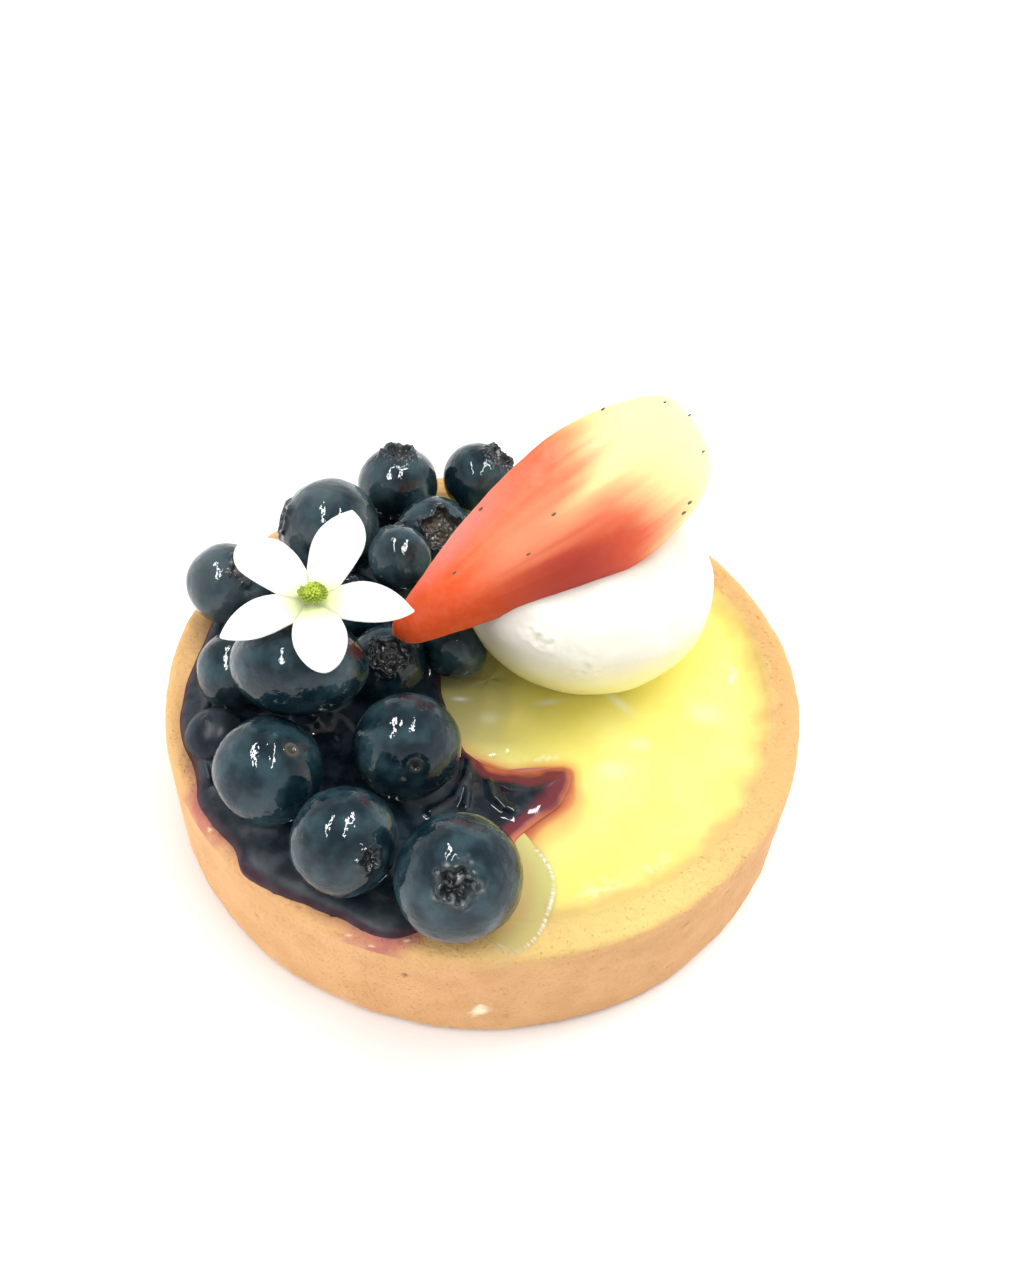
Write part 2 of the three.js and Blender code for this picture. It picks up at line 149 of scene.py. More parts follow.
def catmull_rom(points, share):
    """A point on a smooth curve through the points, as a share of the whole."""
    points = np.asarray(points, float)
    place = share * (len(points) - 1)
    i = min(int(place), len(points) - 2)
    t = place - i
    a = points[max(i - 1, 0)]
    b, c = points[i], points[i + 1]
    d = points[min(i + 2, len(points) - 1)]
    u, v = (c - a) / 2, (d - b) / 2
    return (2 * b - 2 * c + u + v) * t**3 + (3 * c - 3 * b - 2 * u - v) * t**2 + u * t + b


def line_distance(points, line):
    """Distance from each point, in the plane or in space, to a line of straight stretches."""
    line = np.asarray(line, float)
    best = np.full(points.shape[:-1], 1e9)
    for a, b in zip(line[:-1], line[1:]):
        step = b - a
        along = np.clip((points - a) @ step / (step @ step), 0, 1)
        best = np.minimum(best, np.linalg.norm(points - a - along[..., None] * step, axis=-1))
    return best


def circle_steps(count):
    """Angles of so many even steps round a circle."""
    return np.linspace(0, 2 * np.pi, count, endpoint=False)


# Meshes


def closed_grid(rings, start, end):
    """Points and faces of a closed skin: a start point, rings round the way, and an end point."""
    rows, columns = rings.shape[:2]
    points = np.vstack([[start], rings.reshape(-1, 3), [end]])
    pairs = [(j, (j + 1) % columns) for j in range(columns)]
    faces = []
    for low in range(1, 1 + (rows - 1) * columns, columns):
        high = low + columns
        faces += [(low + j, low + k, high + k, high + j) for j, k in pairs]
    last = len(points) - 1
    for j, k in pairs:
        faces += [(0, 1 + k, 1 + j), (last, last - columns + j, last - columns + k)]
    return points, faces


def joined(skins):
    """Points and faces of several closed skins as one mesh."""
    points, faces = [], []
    for made, made_faces in skins:
        faces += [tuple(i + len(points) for i in face) for face in made_faces]
        points += made.tolist()
    return points, faces


def push_out(points, faces, amount):
    """Moves each point along the surface's normal by its amount."""
    mesh = bpy.data.meshes.new("shape")
    mesh.from_pydata(points.tolist(), [], faces)
    normals = np.zeros(len(points) * 3, np.float32)
    mesh.vertex_normals.foreach_get("vector", normals)
    bpy.data.meshes.remove(mesh)
    return points + normals.reshape(-1, 3) * np.asarray(amount)[:, None]


def add_object(name, data):
    made = bpy.data.objects.new(name, data)
    bpy.context.scene.collection.objects.link(made)
    return made


def add_piece(name, points, faces, look, slot, *nodes, attributes=None):
    """A smooth mesh from points in millimetres, riding on the part and standing for its nodes."""
    mesh = bpy.data.meshes.new(name)
    mesh.from_pydata((np.asarray(points) * MM).tolist(), [], faces)
    mesh.shade_smooth()
    for key, values in (attributes or {}).items():
        layer = mesh.attributes.new(key, "FLOAT", "POINT")
        layer.data.foreach_set("value", np.asarray(values, np.float32))
    mesh.materials.append(look)
    piece = add_object(name, mesh)
    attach(piece, "root")
    if nodes:
        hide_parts(*nodes)


# Material nodes


def new_look(name, **settings):
    """A material whose shader has fixed settings."""
    look = bpy.data.materials.new(name)
    look.use_nodes = True
    return finish_with(look, **settings)


def plug(look, socket, value):
    """Links a socket to another socket, or gives it a fixed value."""
    if isinstance(value, bpy.types.NodeSocket):
        look.node_tree.links.new(value, socket)
    else:
        socket.default_value = value


def finish_with(look, **inputs):
    """Plugs values into the material's shader."""
    shader = look.node_tree.nodes["Principled BSDF"]
    for key, value in inputs.items():
        plug(look, shader.inputs[key.replace("_", " ")], value)
    return look


def add_node(look, kind, settings=None, **inputs):
    made = look.node_tree.nodes.new("ShaderNode" + kind)
    for key, value in (settings or {}).items():
        setattr(made, key, value)
    for key, value in inputs.items():
        plug(look, made.inputs[key.replace("_", " ")], value)
    return made


def place_on(look):
    """Position on the object."""
    return add_node(look, "TexCoord").outputs["Object"]


def between(look, value, low, high, first=0, last=1):
    """A smooth change from first to last as a value goes from low to high."""
    made = add_node(
        look, "MapRange", {"interpolation_type": "SMOOTHSTEP"},
        Value=value, From_Min=low, From_Max=high, To_Min=first, To_Max=last,
    )
    return made.outputs["Result"]


def spots(look, size, low, high, detail=3, most=1):
    """Noise with lumps of a size in millimetres, as 0 to the most between two limits."""
    place = place_on(look)
    cloud = add_node(look, "TexNoise", Vector=place, Scale=1 / (size * MM), Detail=detail)
    return between(look, cloud.outputs["Fac"], low, high, 0, most)


def painted(look, name):
    """A value that the mesh carries on its points."""
    return add_node(look, "Attribute", {"attribute_name": name}).outputs["Fac"]


def blend(look, share, first, second):
    """The first colour where the share is 0, and the second where it is 1."""
    made = add_node(look, "Mix", {"data_type": "RGBA", "blend_type": "MIX"})
    plug(look, made.inputs[0], share)
    for socket, value in ((made.inputs[6], first), (made.inputs[7], second)):
        plug(look, socket, value if isinstance(value, bpy.types.NodeSocket) else (*value, 1))
    return made.outputs[2]


def paint_over(look, colour, **layers):
    """Lays a colour over another for each named value that the mesh carries, in turn."""
    for name, over in layers.items():
        colour = blend(look, painted(look, name), colour, over)
    return colour


def relief(look, height, depth, onto=None):
    """A bump of a depth in millimetres, on top of another bump if given."""
    made = add_node(look, "Bump", Height=height, Distance=depth * MM, Strength=1.0)
    if onto is not None:
        plug(look, made.inputs["Normal"], onto)
    return made.outputs["Normal"]


# Materials

# Colours that two materials share where one runs into the other
RIM_TAN = (0.7, 0.42, 0.17)
CUSTARD_YELLOW = (0.93, 0.85, 0.27)


def crust_look():
    look = new_look(
        "crust", Roughness=0.75, Subsurface_Weight=0.2, Subsurface_Scale=0.0015,
        Subsurface_Radius=(1.0, 0.6, 0.3), Specular_IOR_Level=0.25,
    )
    side = blend(look, spots(look, 5, 0.35, 0.65), (0.66, 0.36, 0.16), (0.72, 0.41, 0.19))
    colour = paint_over(look, side, rim=RIM_TAN)
    grain = spots(look, 0.5, 0.3, 0.75, most=0.14)
    colour = blend(look, grain, colour, (0.5, 0.25, 0.1))
    # Khaki is the glaze pool's tint, partly painted shade near the berry
    colour = paint_over(
        look, colour, custard=CUSTARD_YELLOW, khaki=(0.6, 0.43, 0.2), stain=(0.42, 0.1, 0.12),
        speck=(0.1, 0.04, 0.02), nick=(1.0, 0.85, 0.6),
    )
    rough = relief(look, spots(look, 0.7, 0.2, 0.8, 6), 0.1)
    rough = relief(look, spots(look, 0.35, 0.25, 0.4), 0.08, rough)
    return finish_with(look, Base_Color=colour, Normal=rough)


def custard_look():
    look = new_look(
        "custard", Roughness=0.35, Subsurface_Weight=0.4, Subsurface_Scale=0.004,
        Subsurface_Radius=(1.0, 0.8, 0.3), Specular_IOR_Level=0.0, Coat_Weight=1.0,
        Coat_Roughness=0.05, Coat_IOR=1.45,
    )
    colour = blend(look, spots(look, 9, 0.3, 0.7, 2), (0.9, 0.8, 0.2), CUSTARD_YELLOW)
    # Khaki is the glaze's tint, deepened near the dark berries as painted shade and reflection
    colour = paint_over(
        look, colour, edge=RIM_TAN, khaki=(0.5, 0.45, 0.19), red=(0.75, 0.32, 0.1)
    )
    # The red is jam bleeding into the custard, and on the glaze pool a painted shade ring by the
    # berry
    deep_red = between(look, painted(look, "red"), 0.65, 1.05)
    colour = blend(look, deep_red, colour, (0.5, 0.13, 0.06))
    # White froth, together with painted highlights of glare and streaks on the glaze
    colour = paint_over(look, colour, foam=(1.0, 0.98, 0.8))
    glaze = between(look, painted(look, "edge"), 0.1, 0.7, 1, 0)
    swell = relief(look, spots(look, 4, 0.2, 0.8, 2), 0.12)
    return finish_with(look, Base_Color=colour, Normal=swell, Coat_Weight=glaze)


def jam_look():
    """Nearly black where it is deep and red where it is thin, its gloss dulled in places."""
    # These fixed coat values are replaced by the ones linked from the dullness below. These
    # coat values stand in wherever the dulled ones are dropped from an exported model
    look = new_look(
        "jam", Roughness=0.3, Specular_IOR_Level=0.0, Coat_Weight=0.9, Coat_Roughness=0.03,
        Coat_IOR=1.45,
    )
    cloud = spots(look, 2.2, 0.38, 0.62)
    colour = blend(look, cloud, (0.006, 0.011, 0.018), (0.02, 0.031, 0.042))
    thin = painted(look, "thin")
    colour = blend(look, between(look, thin, 0.15, 0.65), colour, (0.17, 0.03, 0.04))
    colour = blend(look, between(look, thin, 0.78, 1.05), colour, (0.55, 0.16, 0.07))
    ripple = relief(look, spots(look, 4, 0.2, 0.8, 1), 0.12)
    dull = painted(look, "dull")
    return finish_with(
        look, Base_Color=colour, Normal=ripple, Coat_Normal=ripple,
        Coat_Roughness=between(look, dull, 0, 1, 0.05, 0.4),
        Coat_Weight=between(look, dull, 0, 1, 0.9, 0.5),
    )


def blueberry_look():
    look = new_look(
        "blueberry", Roughness=0.5, Specular_IOR_Level=0.0, Coat_Weight=1.0,
        Coat_Roughness=0.035, Coat_IOR=1.45,
    )
    bloom = spots(look, 3.6, 0.4, 0.68)
    colour = blend(look, bloom, (0.004, 0.015, 0.023), (0.031, 0.066, 0.081))
    fine = spots(look, 0.45, 0.4, 0.75, 2, most=0.3)
    colour = blend(look, fine, colour, (0.006, 0.014, 0.02))
    # The lighter skin of the farthest berries is a painted reflection of the white surroundings
    colour = paint_over(
        look, colour, haze=(0.1, 0.13, 0.14), calyx=(0.02, 0.016, 0.016),
        scar=(0.09, 0.08, 0.06), crumbs=(0.3, 0.34, 0.34),
    )
    gloss = relief(look, spots(look, 2.2, 0.2, 0.8, 2), 0.09)
    gloss = relief(look, spots(look, 0.8, 0.3, 0.7, 2), 0.014, gloss)
    return finish_with(look, Base_Color=colour, Normal=gloss, Coat_Normal=gloss)


def cream_look():
    look = new_look(
        "cream", Roughness=0.4, Subsurface_Weight=0.6, Subsurface_Scale=0.003,
        Subsurface_Radius=(1.0, 0.9, 0.7), Coat_Weight=0.3, Coat_Roughness=0.25,
    )
    colour = blend(look, spots(look, 6, 0.35, 0.65), (0.8, 0.78, 0.68), (0.86, 0.84, 0.75))
    # The yellow on the lower part is painted light, bounced up from the custard
    colour = paint_over(look, colour, low=(0.92, 0.88, 0.4))
    soft = relief(look, spots(look, 1.5, 0.2, 0.8, 4), 0.05)
    return finish_with(look, Base_Color=colour, Normal=soft)


def strawberry_look():
    look = new_look(
        "strawberry", Roughness=0.4, Subsurface_Weight=0.3, Subsurface_Scale=0.002,
        Subsurface_Radius=(1.0, 0.4, 0.25), Specular_IOR_Level=0.2, Coat_Weight=0.1,
        Coat_Roughness=0.3,
    )
    red = blend(look, spots(look, 1.4, 0.35, 0.65), (0.9, 0.11, 0.02), (0.93, 0.14, 0.045))
    # Deep is painted shade on the lower side; salmon is partly painted light along the middle
    colour = paint_over(
        look, red, pink=(0.86, 0.24, 0.2), salmon=(0.88, 0.32, 0.17), deep=(0.4, 0.03, 0.018),
        pale=(0.92, 0.9, 0.4), flesh=(0.85, 0.2, 0.1), core=(0.93, 0.66, 0.42),
    )
    skin = relief(look, spots(look, 0.6, 0.2, 0.8, 2), 0.025)
    return finish_with(look, Base_Color=colour, Normal=skin)


def seed_look():
    look = new_look("seed", Roughness=0.45, Coat_Weight=0.3, Coat_Roughness=0.2)
    colour = blend(look, spots(look, 0.3, 0.4, 0.6), (0.08, 0.04, 0.01), (0.16, 0.09, 0.02))
    return finish_with(look, Base_Color=colour)


def petal_look():
    look = new_look(
        "petal", Roughness=0.5, Subsurface_Weight=0.5, Subsurface_Scale=0.001,
        Subsurface_Radius=(1.0, 1.0, 0.8), Sheen_Weight=0.1,
    )
    colour = blend(look, spots(look, 2, 0.3, 0.7), (0.95, 0.95, 0.93), (0.97, 0.97, 0.95))
    colour = paint_over(look, colour, heart=(0.8, 0.88, 0.4))
    veins = relief(look, painted(look, "vein"), 0.06)
    return finish_with(look, Base_Color=colour, Normal=veins)


def eye_look():
    look = new_look(
        "flower_eye", Roughness=0.6, Subsurface_Weight=0.2, Subsurface_Scale=0.001
    )
    colour = blend(look, painted(look, "tip"), (0.16, 0.24, 0.012), (0.42, 0.54, 0.03))
    return finish_with(look, Base_Color=colour)


def floor_look():
    """White, with a glow far from the tart so that it meets the white background."""
    look = new_look("floor", Roughness=0.9, Emission_Color=(1, 1, 1, 1))
    colour = blend(look, spots(look, 50, 0.3, 0.7), (0.93, 0.93, 0.93), (0.95, 0.95, 0.95))
    away = add_node(look, "VectorMath", {"operation": "LENGTH"}, Vector=place_on(look))
    glow = between(look, away.outputs["Value"], 0.3, 1.2, 0, 0.5)
    return finish_with(look, Base_Color=colour, Emission_Strength=glow)


# Pastry shell


def jam_edge(steps=132):
    """The jam's outline as a smooth closed loop, counter-clockwise."""
    count = len(JAM_OUTLINE)
    wrapped = [JAM_OUTLINE[-1], *JAM_OUTLINE, JAM_OUTLINE[0], JAM_OUTLINE[1]]
    total = count + 2
    loop = [catmull_rom(wrapped, (1 + count * k / steps) / total) for k in range(steps)]
    return loop[::-1]


def outline_distance(points):
    """Distance from each point to the edge of the jam, seen from above."""
    edge = jam_edge()
    return line_distance(points[:, :2], [*edge, edge[0]])


def crust_profile():
    """Section of the shell from the middle of the base to the middle of the floor inside."""
    outer = TART_RADIUS
    inner = TART_RADIUS - WALL_THICKNESS - GAP
    top = TART_HEIGHT
    corner = 0.9
    corners = [
        (outer - corner, 0), (outer - 0.3 * corner, 0.3 * corner), (outer, corner),
        (outer, top / 2), (outer, top - 1.3 * corner), (outer - 0.3 * corner, top - 0.5 * corner),
        (outer - corner, top - 0.1 * corner), (outer - 2.2 * corner, top),
        (inner + 1.3 * corner, top - 0.3 * corner), (inner + 0.5 * corner, top - corner),
        (inner + 0.1 * corner, top - 2 * corner), (inner, top - 4 * corner),
    ]
    step = 0.3
    fine = []
    for (ax, ay), (bx, by) in zip(corners[:-1], corners[1:]):
        count = max(2, round(math.hypot(bx - ax, by - ay) / step))
        fine += [(ax + (bx - ax) * k / count, ay + (by - ay) * k / count) for k in range(count)]
    fine = np.array(fine)
    for _ in range(3):
        fine[1:-1] = (fine[:-2] + 2 * fine[1:-1] + fine[2:]) / 4
    floor = [(inner, FLOOR_THICKNESS), (inner / 2, FLOOR_THICKNESS)]
    return np.vstack([[(outer / 2, 0)], fine, floor])


def rim_rise(angle):
    """How far the rim rises above its level at an angle."""
    return 0.09 * np.sin(4 * angle + 2) + 0.05 * np.sin(9 * angle)


def crust_top(radius):
    """Height of the rim and of its inner slope at a distance from the middle."""
    profile = crust_profile()
    on_top = (profile[:, 1] > TART_HEIGHT - 4) & (profile[:, 0] > RIM_INNER_RADIUS - 0.6)
    upper = profile[on_top][::-1]
    return np.interp(radius, upper[:, 0], upper[:, 1])


def yellow_share(points):
    """How yellow each place is across the custard's irregular edge, from 1 inside to 0 outside."""
    flat = points * (1, 1, 0)
    ragged = 0.8 * lumps(flat, 3.5, 7) + 0.3 * lumps(flat, 1.1, 8)
    turn = np.degrees(np.arctan2(points[:, 1], points[:, 0]))
    reach = 34.6 + 1.8 * smooth_step(-90, -60, turn) * smooth_step(80, 20, turn)
    share = smooth_step(reach + 0.5, 32.2, np.hypot(points[:, 0], points[:, 1]) + ragged)
    upper = smooth_step(TART_HEIGHT - 1.2, TART_HEIGHT - 0.3, points[:, 2])
    return np.maximum(share, 0.4 * bell(turn + 62, 26) * upper)


# Dark specks on the shell and a pale nick: degrees round from +X, height up the side and size
CRUST_SPECKS = [(-100.5, 11.5, 0.3), (-53.6, 12.8, 0.28), (-176, 12, 0.25), (-128, 9, 0.2)]
NICK = (-88.5, 5.6, 1.1)
# Stretches of the rim that the jam has stained: degrees round from +X, and half the stretch
RIM_STAINS = [(-144, 10), (-103, 9)]


def crust_rings():
    """Rings of the shell's skin, a little out of round and with an uneven rim."""
    profile = crust_profile()
    angle = circle_steps(RIM_STEPS)[None, :]
    radius = profile[:, 0][:, None]
    height = profile[:, 1][:, None]
    out_of_round = 0.35 * np.cos(angle - 3.6) + 0.06 * np.sin(11 * angle)
    outside = smooth_step(TART_RADIUS - WALL_THICKNESS / 2, TART_RADIUS - 1, radius)
    upper = smooth_step(4, TART_HEIGHT, height)
    r = radius + out_of_round * outside
    z = height + rim_rise(angle) * upper
    return np.stack([r * np.cos(angle), r * np.sin(angle), z + 0 * angle], axis=-1)


def crust_relief(points):
    """Bumps, pores and fine level cracks of the baked surface, and its rough foot."""
    across = np.hypot(points[:, 0], points[:, 1])
    wall = TART_RADIUS - WALL_THICKNESS
    foot = smooth_step(2.5, 0.3, points[:, 2]) * (across > TART_RADIUS - 1.5)
    bumps = 0.06 * lumps(points, 2.2) + 0.04 * lumps(points, 0.9, 1)
    pores = 0.2 * smooth_step(0.75, 1.1, lumps(points, 1.1, 2))
    level = points * (0.25, 0.25, 1)
    cracks = 0.07 * smooth_step(0.45, 0.9, lumps(level, 0.8, 3)) * (across > TART_RADIUS - 1)
    worn = 0.08 * foot * np.abs(lumps(points, 2.5, 4))
    return (bumps - pores - cracks - worn) * smooth_step(wall - 0.2, wall + 1, across)


def crust_marks(points):
    """How much of a speck, of the nick, of a jam stain and of its flecks each point has."""
    across = np.hypot(points[:, 0], points[:, 1])
    up = points[:, 2]
    turn = np.degrees(np.arctan2(points[:, 1], points[:, 0]))
    on_side = across > TART_RADIUS - 1
    per_degree = math.radians(TART_RADIUS)
    speck = np.zeros(len(points))
    for degrees, level, size in CRUST_SPECKS:
        apart = np.hypot((turn - degrees) * per_degree, up - level)
        speck = np.maximum(speck, bell(apart, size) * on_side)
    degrees, level, size = NICK
    apart = np.hypot((turn - degrees) * per_degree - 0.3 * (up - level), (up - level) / 1.5)
    nick = smooth_step(size, size * 0.4, apart + 0.5 * lumps(points, 0.8, 5)) * on_side
    from_jam = outline_distance(points)
    spread = sum(bell(turn - degrees, half) for degrees, half in RIM_STAINS)
    stain = smooth_step(1.2 + 1.8 * spread, 0.1, from_jam + 0.5 * lumps(points, 1.5, 6))
    stain = (0.12 + 0.7 * spread) * stain * (up > TART_HEIGHT - 2) * (across > 34)
    flecks = smooth_step(0.75, 1.05, lumps(points, 0.45, 10)) * stain * (from_jam > 0.4)
    return speck, nick, stain, flecks


def make_crust(look):
    points, faces = closed_grid(crust_rings(), (0, 0, 0), (0, 0, FLOOR_THICKNESS))
    up = points[:, 2]
    speck, nick, stain, flecks = crust_marks(points)
    push = (crust_relief(points) - 0.25 * speck - 0.3 * nick) * (up > 0.05)
    points = push_out(points, faces, push + 0.08 * flecks)
    points[:, 2] = np.maximum(points[:, 2], 0)
    values = {
        "rim": smooth_step(TART_HEIGHT - 2.6, TART_HEIGHT - 0.2, up + 0.4 * lumps(points, 3, 9)),
        "custard": yellow_share(points) * (up > TART_HEIGHT - 3),
        "khaki": pool_share(points[:, 0], points[:, 1]) * (up > TART_HEIGHT - 2),
        "stain": stain, "speck": speck, "nick": np.maximum(nick, flecks),
    }
    add_piece("pastry_shell", points, faces, look, "crust", "crust", attributes=values)


# Custard, and the clear glaze that pools on it

# How far the custard runs out as a thin film over the slope inside the rim
FILM_REACH = 2.6

# Marks on the custard, painted glare and painted highlight streaks, and broken froth: centre
# [x, y], half length, half width and degrees round
GLARE_PATCHES = [
    (27.5, -3.8, 2, 1.6, 0), (15.3, -13.3, 1.8, 1.2, 0), (19, -9, 1.4, 1, 0),
    (0.4, -6.5, 1.2, 0.9, 20),
]
HIGHLIGHT_STREAKS = [(7.7, -3.2, 1.4, 0.45, 10), (16.6, -2.4, 1.7, 0.55, -45), (-3.4, -3.6, 0.9, 0.3, 0)]
FROTH = [
    (14.3, -30.6, 3.2, 1.4, 25), (11.2, -32.6, 1.6, 0.9, 20), (7, -12.1, 2, 0.4, 12),
    (20, -27, 2.6, 0.8, 38), (31.5, 3, 0.7, 1.6, 0),
]

# Pool of clear glaze beside the front berry, round this centre, and where the line of bubbles
# at its edge runs, as a share of the way out
GLAZE_CENTRE = (-2, -31)
GLAZE_RADIUS = 10.9
BUBBLE_LINE = 0.955


def custard_height(x, y):
    """Top of the custard, which climbs the slope inside the rim a little."""
    radius = np.hypot(x, y)
    angle = np.arctan2(y, x)
    wave = 0.5 + 0.5 * np.sin(3 * angle + radius / 4) * np.cos(2 * angle - radius / 6)
    rise = smooth_step(RIM_INNER_RADIUS - 2.6, RIM_INNER_RADIUS + 0.7, radius)
    return CUSTARD_TOP - CUSTARD_WAVE * wave * (1 - rise) + 0.75 * rise


def pool_share(x, y):
    """How much the pool of glaze tints each place; its deepening toward the berry is painted shade.
    """
    far = np.hypot(x - GLAZE_CENTRE[0], y - GLAZE_CENTRE[1])
    turn = np.degrees(np.arctan2(y - GLAZE_CENTRE[1], x - GLAZE_CENTRE[0]))
    facing = smooth_step(-80, -45, turn) * smooth_step(95, 60, turn)
    tint = 0.6 + 0.38 * smooth_step(GLAZE_RADIUS, 7, far)
    return facing * tint * smooth_step(GLAZE_RADIUS + 0.1, GLAZE_RADIUS - 0.5, far)


def marks_share(points, marks):
    """How near each point is to the middle of a mark, from 0 to 1."""
    share = np.zeros(len(points))
    for x, y, long, wide, degrees in marks:
        dx, dy = points[:, 0] - x, points[:, 1] - y
        turn = math.radians(degrees)
        along = dx * math.cos(turn) + dy * math.sin(turn)
        aside = dy * math.cos(turn) - dx * math.sin(turn)
        share = np.maximum(share, bell(np.hypot(along / long, aside / wide), 1))
    return share


def custard_rings():
    """Rings of the custard's skin, from its bottom to the film on the rim and to the middle."""
    angle = circle_steps(RIM_STEPS)
    end = RIM_INNER_RADIUS + FILM_REACH
    radius = np.linspace(0.4, end, 128)[:, None]
    x = radius * np.cos(angle)
    y = radius * np.sin(angle)
    thickness = 0.1 - 0.3 * smooth_step(RIM_INNER_RADIUS, end, radius)
    film = crust_top(radius) + thickness + rim_rise(angle)
    height = custard_height(x, y)
    height = np.where(radius > RIM_INNER_RADIUS - 0.5, np.maximum(height, film), height)
    top = np.stack([x, y, height], axis=-1)
    circle = RIM_INNER_RADIUS * np.stack([np.cos(angle), np.sin(angle), 0 * angle], -1)
    side = [circle + (0, 0, level) for level in (CUSTARD_BOTTOM, CUSTARD_TOP - 1.5)]
    return np.concatenate([side, top[::-1]])


def make_custard(look):
    middle = float(custard_height(0.0, 0.0))
    points, faces = closed_grid(custard_rings(), (0, 0, CUSTARD_BOTTOM), (0, 0, middle))
    x, y = points[:, 0], points[:, 1]
    wobble = lumps(points, 4)
    inward = smooth_step(RIM_INNER_RADIUS, RIM_INNER_RADIUS - 3, np.hypot(x, y))
    on_top = (points[:, 2] > CUSTARD_TOP - 1) * inward
    points[:, 2] += on_top * (0.1 * lumps(points, 6, 2) + 0.04 * lumps(points, 2.2, 3))
    # A film of glaze lies between the cream and the jam, thickest on the left
    film = smooth_step(8.8, -4, x + 1.5 * wobble) * smooth_step(-15, -9, y) * smooth_step(14, 6, y)
    points[:, 2] += on_top * 0.3 * smooth_step(0.1, 0.5, film)
    froth = marks_share(points, FROTH) * smooth_step(-0.5, 0.8, lumps(points, 0.6, 5))
    points[:, 2] += on_top * 0.1 * froth
    # Painted highlights: white glare and streaks where the glaze would glint
    light = np.maximum(0.3 * marks_share(points, GLARE_PATCHES), 0.9 * marks_share(points, HIGHLIGHT_STREAKS))
    # Red runs out of the jam's lobe, farthest at its front
    red_reach = 2.1 + 2.7 * smooth_step(-15, -19, y)
    from_jam = outline_distance(points)
    values = {
        "edge": 1 - yellow_share(points),
        # Khaki: the glaze's tint, strongest toward the jam and berries, where it is partly painted
        # shade and reflection of the dark berries
        "khaki": np.clip(0.9 * film + pool_share(x, y), 0, 0.95),
        "red": smooth_step(red_reach, -0.4, from_jam + 0.5 * wobble) * smooth_step(-8, -14, y),
        "foam": on_top * np.maximum(light, 0.8 * froth),
    }
    add_piece("custard_filling", points, faces, look, "custard", "custard", attributes=values)


def make_glaze_pool(look):
    """A thin film whose edge is a row of tiny bubbles, lying on the custard and the rim."""
    around = 320
    share = np.linspace(0.3, 1, 50)[:, None]
    angle = np.linspace(-np.pi, np.pi, around, endpoint=False)
    degrees = np.degrees(angle)
    facing = smooth_step(-75, -48, degrees) * smooth_step(90, 55, degrees)
    # Where it doesn't face the custard, it ends under the berry
    under = 5
    reach = under + (GLAZE_RADIUS - under + 0.2 * np.sin(7 * angle)) * facing
    x = GLAZE_CENTRE[0] + share * reach * np.cos(angle)
    y = GLAZE_CENTRE[1] + share * reach * np.sin(angle)
    radius = np.hypot(x, y)
    ground = np.maximum(custard_height(x, y), crust_top(radius) * (radius > RIM_INNER_RADIUS))
    circle = np.column_stack([np.cos(angle), np.sin(angle), 0 * angle]) * GLAZE_RADIUS
    bubbles = smooth_step(-0.6, 0.5, lumps(circle, 0.35, 3)) * facing
    bubbles = bubbles * smooth_step(-0.6, 0.5, lumps(circle, 2.5, 4))
    thickness = 0.22 * (1 - share**10) - 0.06 * share**20
    thickness = thickness + 0.2 * bell(share - BUBBLE_LINE, 0.022) * bubbles
    top = np.stack([x, y, ground + thickness], axis=-1)
    below = top[-1] - (0, 0, 0.6)
    rings = np.concatenate([below[None], top[::-1]])
    middle = (*GLAZE_CENTRE, CUSTARD_TOP + 0.2)
    points, faces = closed_grid(rings, (*GLAZE_CENTRE, CUSTARD_TOP - 1), middle)
    # The row of bubbles is painted white, a painted highlight along the pool's edge
    foam = 0.85 * bell(share - BUBBLE_LINE, 0.02) * bubbles
    far = np.hypot(points[:, 0] - GLAZE_CENTRE[0], points[:, 1] - GLAZE_CENTRE[1])
    values = {
        "edge": 1 - yellow_share(points),
        "khaki": pool_share(points[:, 0], points[:, 1]),
        # Painted shade: a brown ring on the pool close to the berry
        "red": 0.4 * smooth_step(9.6, 6.4, far),
        "foam": [*np.zeros(around + 1), *foam[::-1].ravel(), 0],
    }
    add_piece("glaze_pool", points, faces, look, "custard", attributes=values)


# Jam

# The jam's rings of points shrink toward this place, from which its whole outline is in sight
JAM_CENTRE = (-12, -16)
JAM_BOTTOM = RESTING_LEVEL - 0.9
# Folds in the jam between the front berries and on its lobe: [x, y] along each
JAM_FOLDS = [
    [(-5.8, -22.2), (-3.1, -19.6), (-1.9, -16.3), (-1.5, -12.7)],
    [(-1.8, -20.9), (-1.7, -18.4)],
    [(0.7, -16.7), (1.2, -18.8), (2.8, -20.4), (3.9, -20.8)],
    [(-33.5, -9), (-34.5, -14), (-31.5, -20)],
]


def berry_drop(x, y, level):
    """How far each place at a level is from the nearest blueberry, negative inside one."""
    best = np.full(np.shape(x), 1e9)
    for _, (cx, cy, cz), radius, flatness, *_ in BLUEBERRIES:
        across = radius * math.sqrt(max(0.05, 1 - ((level - cz) / (radius * flatness)) ** 2))
        best = np.minimum(best, np.hypot(x - cx, y - cy) - across)
    return best


def jam_places():
    """Rings of places seen from above, from the jam's scalloped edge to near its middle."""
    edge = np.array(jam_edge(528))
    scallop = 0.2 * lumps(np.column_stack([edge, 0 * edge[:, 0]]), 3.4, 9)
    outward = (edge - JAM_CENTRE) / np.linalg.norm(edge - JAM_CENTRE, axis=1)[:, None]
    edge = edge + outward * scallop[:, None]
    by_edge = [1, 0.997, 0.992, 0.985, 0.975, 0.963]
    shares = np.array([*by_edge, *np.linspace(0.95, 0.03, 90)])[:, None]
    x = JAM_CENTRE[0] + shares * (edge[:, 0] - JAM_CENTRE[0])
    y = JAM_CENTRE[1] + shares * (edge[:, 1] - JAM_CENTRE[1])
    return x, y


